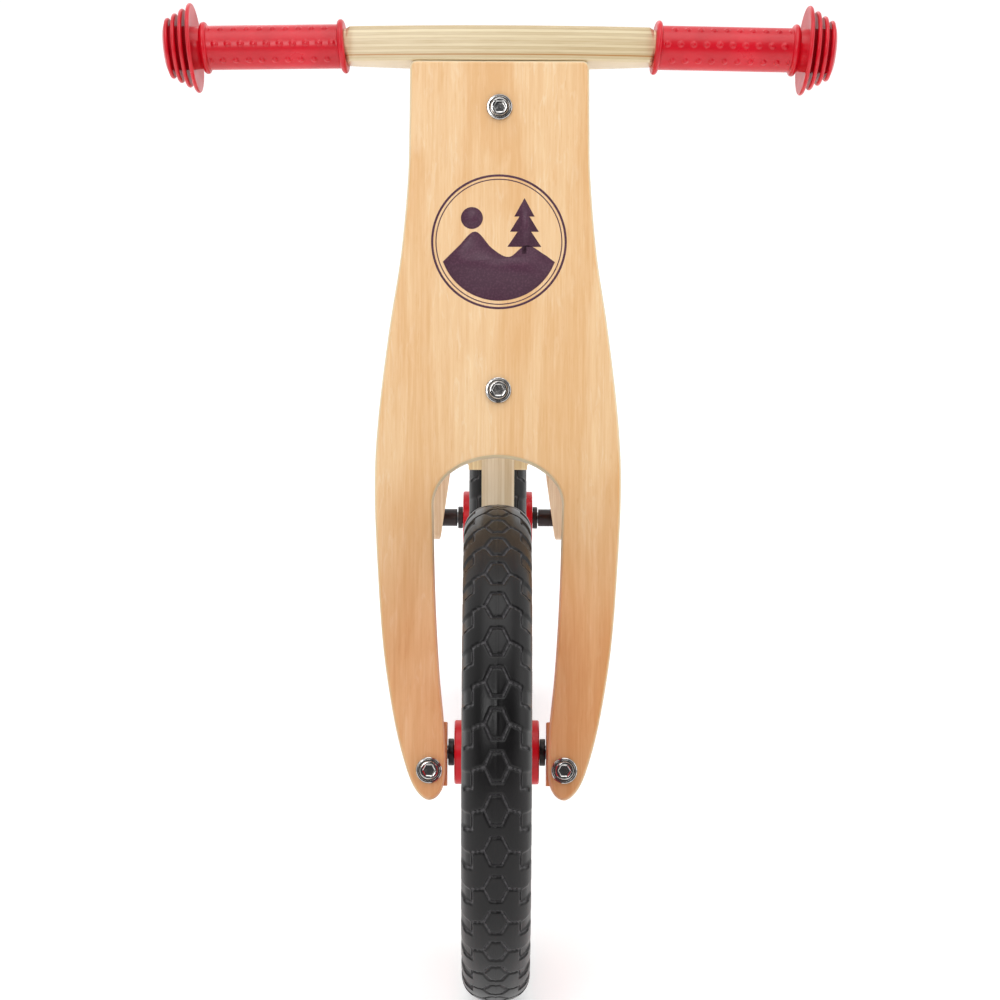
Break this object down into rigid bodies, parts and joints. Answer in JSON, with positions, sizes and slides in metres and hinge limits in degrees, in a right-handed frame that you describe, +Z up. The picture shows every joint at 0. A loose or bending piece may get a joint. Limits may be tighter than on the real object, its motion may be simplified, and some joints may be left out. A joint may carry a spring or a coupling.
{
  "type": "balance bike",
  "caption": "Child's wooden balance bike with a plywood fork board, laminated handlebar, red finned grips, red wheels, black treaded tyres and a padded seat.",
  "frame": {"origin": "on the floor midway between the two axles, in the middle of the bike", "axes": "+Z up, -Y forwards (the way the bike rides), +X to the rider's left when seated facing forwards"},
  "size_m": [0.4038, 0.859, 0.5756],
  "materials": {
    "birch_plywood": "satin varnish over rotary-cut birch, pale rounded edges",
    "laminated_wood": "sanded and clear-varnished laminated wood with glue lines",
    "red_plastic": "moulded, satin",
    "tyre_foam": "moulded foam, matte",
    "chrome": "bright nickel and chrome plate",
    "steel": "zinc-plated",
    "black_plastic": "moulded, matte",
    "nylon": "natural nylon",
    "seat_fabric": "woven cover over foam"
  },
  "bodies": {
    "frame": {"frame_beam": "laminated_wood", "head_bush_lower": "nylon", "head_bush_upper": "nylon", "stay_bolt_front": "chrome", "stay_bolt_rear": "chrome", "stay_nut_front": "chrome", "stay_nut_rear": "chrome", "seat_bolt_front": "chrome", "seat_bolt_rear": "chrome", "seat_nut_front": "chrome", "seat_nut_rear": "chrome", "rear_axle": "steel", "head_plate_left": "birch_plywood", "head_plate_right": "birch_plywood", "rear_stay_left": "birch_plywood", "rear_stay_right": "birch_plywood", "stay_wedge_left": "birch_plywood", "stay_wedge_right": "birch_plywood", "rear_collar_left": "black_plastic", "rear_collar_right": "black_plastic", "rear_tube_left": "black_plastic", "rear_tube_right": "black_plastic", "rear_axle_nut_left": "steel", "rear_axle_nut_right": "steel"},
    "fork": {"fork_board": "birch_plywood", "head_block_upper": "birch_plywood", "head_block_lower": "birch_plywood", "board_bolt_upper": "chrome", "board_bolt_lower": "chrome", "barrel_nut_upper": "steel", "barrel_nut_lower": "steel", "steering_bolt": "steel", "steering_nut": "steel", "handlebar": "laminated_wood", "front_axle": "steel", "grip_left": "red_plastic", "grip_right": "red_plastic", "handlebar_bolt_left": "chrome", "handlebar_bolt_right": "chrome", "axle_block_left": "birch_plywood", "axle_block_right": "birch_plywood", "leg_bolt_left": "chrome", "leg_bolt_right": "chrome", "front_collar_left": "black_plastic", "front_collar_right": "black_plastic", "front_axle_nut_left": "steel", "front_axle_nut_right": "steel"},
    "front_wheel": {"front_tyre": "tyre_foam", "front_rim": "red_plastic", "front_bearing_left": "nylon", "front_bearing_right": "nylon"},
    "rear_wheel": {"rear_tyre": "tyre_foam", "rear_rim": "red_plastic", "rear_bearing_left": "nylon", "rear_bearing_right": "nylon"},
    "seat": {"seat_cheek_left": "birch_plywood", "seat_cheek_right": "birch_plywood", "seat_base": "birch_plywood", "seat_cushion": "seat_fabric"}
  },
  "joints": [
    {"name": "steering", "type": "hinge", "parent": "frame", "child": "fork", "pos_m": [0, -0.27489, 0.14453], "axis": [0, 0.309, 0.9511], "range_deg": [-35, 35]},
    {"name": "front_wheel_spin", "type": "hinge", "parent": "fork", "child": "front_wheel", "pos_m": [0, -0.2825, 0.147], "axis": [1, 0, 0], "continuous": true},
    {"name": "rear_wheel_spin", "type": "hinge", "parent": "frame", "child": "rear_wheel", "pos_m": [0, 0.2825, 0.147], "axis": [1, 0, 0], "continuous": true},
    {"name": "seat_height", "type": "slide", "parent": "frame", "child": "seat", "axis": [0, 0, 1], "range_m": [0, 0.045]}
  ]
}
